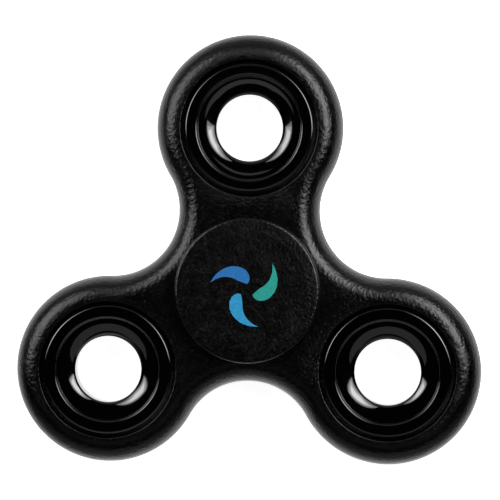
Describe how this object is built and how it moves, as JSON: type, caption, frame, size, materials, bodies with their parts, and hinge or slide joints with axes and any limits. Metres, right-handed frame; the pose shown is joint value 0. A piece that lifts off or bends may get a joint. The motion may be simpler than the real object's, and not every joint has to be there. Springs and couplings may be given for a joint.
{
  "type": "fidget spinner",
  "caption": "Flat lobed hand spinner: a moulded frame turning on a ball bearing held between round finger caps, with a weight ring in each lobe.",
  "frame": {"origin": "centre of the bearing, on the spin axis and at mid-thickness", "axes": "+Z along the spin axis out of the front cap, +Y through the first lobe, +X across the other two lobes"},
  "size_m": [0.075, 0.069, 0.0126],
  "materials": {
    "frame_plastic": "fine spark-eroded black ABS with a satin edge",
    "cap_plastic": "matte grained black ABS",
    "ring_enamel": "gloss black enamel on steel",
    "bearing_steel": "ground and polished bearing steel",
    "sheet_steel": "pressed sheet steel",
    "spring_steel": "blued spring wire"
  },
  "bodies": {
    "hub": {"bearing_inner_race": "bearing_steel", "finger_cap_front": "cap_plastic", "finger_cap_rear": "cap_plastic"},
    "rotor": {"rotor_frame": "frame_plastic", "weight_ring_1": "ring_enamel", "weight_ring_2": "ring_enamel", "weight_ring_3": "ring_enamel", "bearing_outer_race": "bearing_steel", "bearing_shield_front": "sheet_steel", "bearing_shield_rear": "sheet_steel", "shield_clip_front": "spring_steel", "shield_clip_rear": "spring_steel"},
    "cage": {"cage_half_front": "sheet_steel", "cage_half_rear": "sheet_steel", "cage_rivet_1": "sheet_steel", "cage_rivet_2": "sheet_steel", "cage_rivet_3": "sheet_steel", "cage_rivet_4": "sheet_steel", "cage_rivet_5": "sheet_steel", "cage_rivet_6": "sheet_steel", "cage_rivet_7": "sheet_steel"},
    "ball_1": {"bearing_ball_1": "bearing_steel"},
    "ball_2": {"bearing_ball_2": "bearing_steel"},
    "ball_3": {"bearing_ball_3": "bearing_steel"},
    "ball_4": {"bearing_ball_4": "bearing_steel"},
    "ball_5": {"bearing_ball_5": "bearing_steel"},
    "ball_6": {"bearing_ball_6": "bearing_steel"},
    "ball_7": {"bearing_ball_7": "bearing_steel"}
  },
  "joints": [
    {"name": "rotor_spin", "type": "hinge", "parent": "hub", "child": "rotor", "pos_m": [0, 0, 0], "axis": [0, 0, 1], "continuous": true},
    {"name": "cage_orbit", "type": "hinge", "parent": "hub", "child": "cage", "pos_m": [0, 0, 0], "axis": [0, 0, 1], "continuous": true},
    {"name": "ball_1_roll", "type": "hinge", "parent": "cage", "child": "ball_1", "pos_m": [0, 0.0075, 0], "axis": [0, 0, 1], "continuous": true},
    {"name": "ball_2_roll", "type": "hinge", "parent": "cage", "child": "ball_2", "pos_m": [-0.00586, 0.00468, 0], "axis": [0, 0, 1], "continuous": true},
    {"name": "ball_3_roll", "type": "hinge", "parent": "cage", "child": "ball_3", "pos_m": [-0.00731, -0.00167, 0], "axis": [0, 0, 1], "continuous": true},
    {"name": "ball_4_roll", "type": "hinge", "parent": "cage", "child": "ball_4", "pos_m": [-0.00325, -0.00676, 0], "axis": [0, 0, 1], "continuous": true},
    {"name": "ball_5_roll", "type": "hinge", "parent": "cage", "child": "ball_5", "pos_m": [0.00325, -0.00676, 0], "axis": [0, 0, 1], "continuous": true},
    {"name": "ball_6_roll", "type": "hinge", "parent": "cage", "child": "ball_6", "pos_m": [0.00731, -0.00167, 0], "axis": [0, 0, 1], "continuous": true},
    {"name": "ball_7_roll", "type": "hinge", "parent": "cage", "child": "ball_7", "pos_m": [0.00586, 0.00468, 0], "axis": [0, 0, 1], "continuous": true}
  ],
  "couplings": [
    {"joint": "cage_orbit", "follows": "rotor_spin", "ratio": 0.6323},
    {"joint": "ball_1_roll", "follows": "rotor_spin", "ratio": 1.7573},
    {"joint": "ball_2_roll", "follows": "rotor_spin", "ratio": 1.7573},
    {"joint": "ball_3_roll", "follows": "rotor_spin", "ratio": 1.7573},
    {"joint": "ball_4_roll", "follows": "rotor_spin", "ratio": 1.7573},
    {"joint": "ball_5_roll", "follows": "rotor_spin", "ratio": 1.7573},
    {"joint": "ball_6_roll", "follows": "rotor_spin", "ratio": 1.7573},
    {"joint": "ball_7_roll", "follows": "rotor_spin", "ratio": 1.7573}
  ]
}
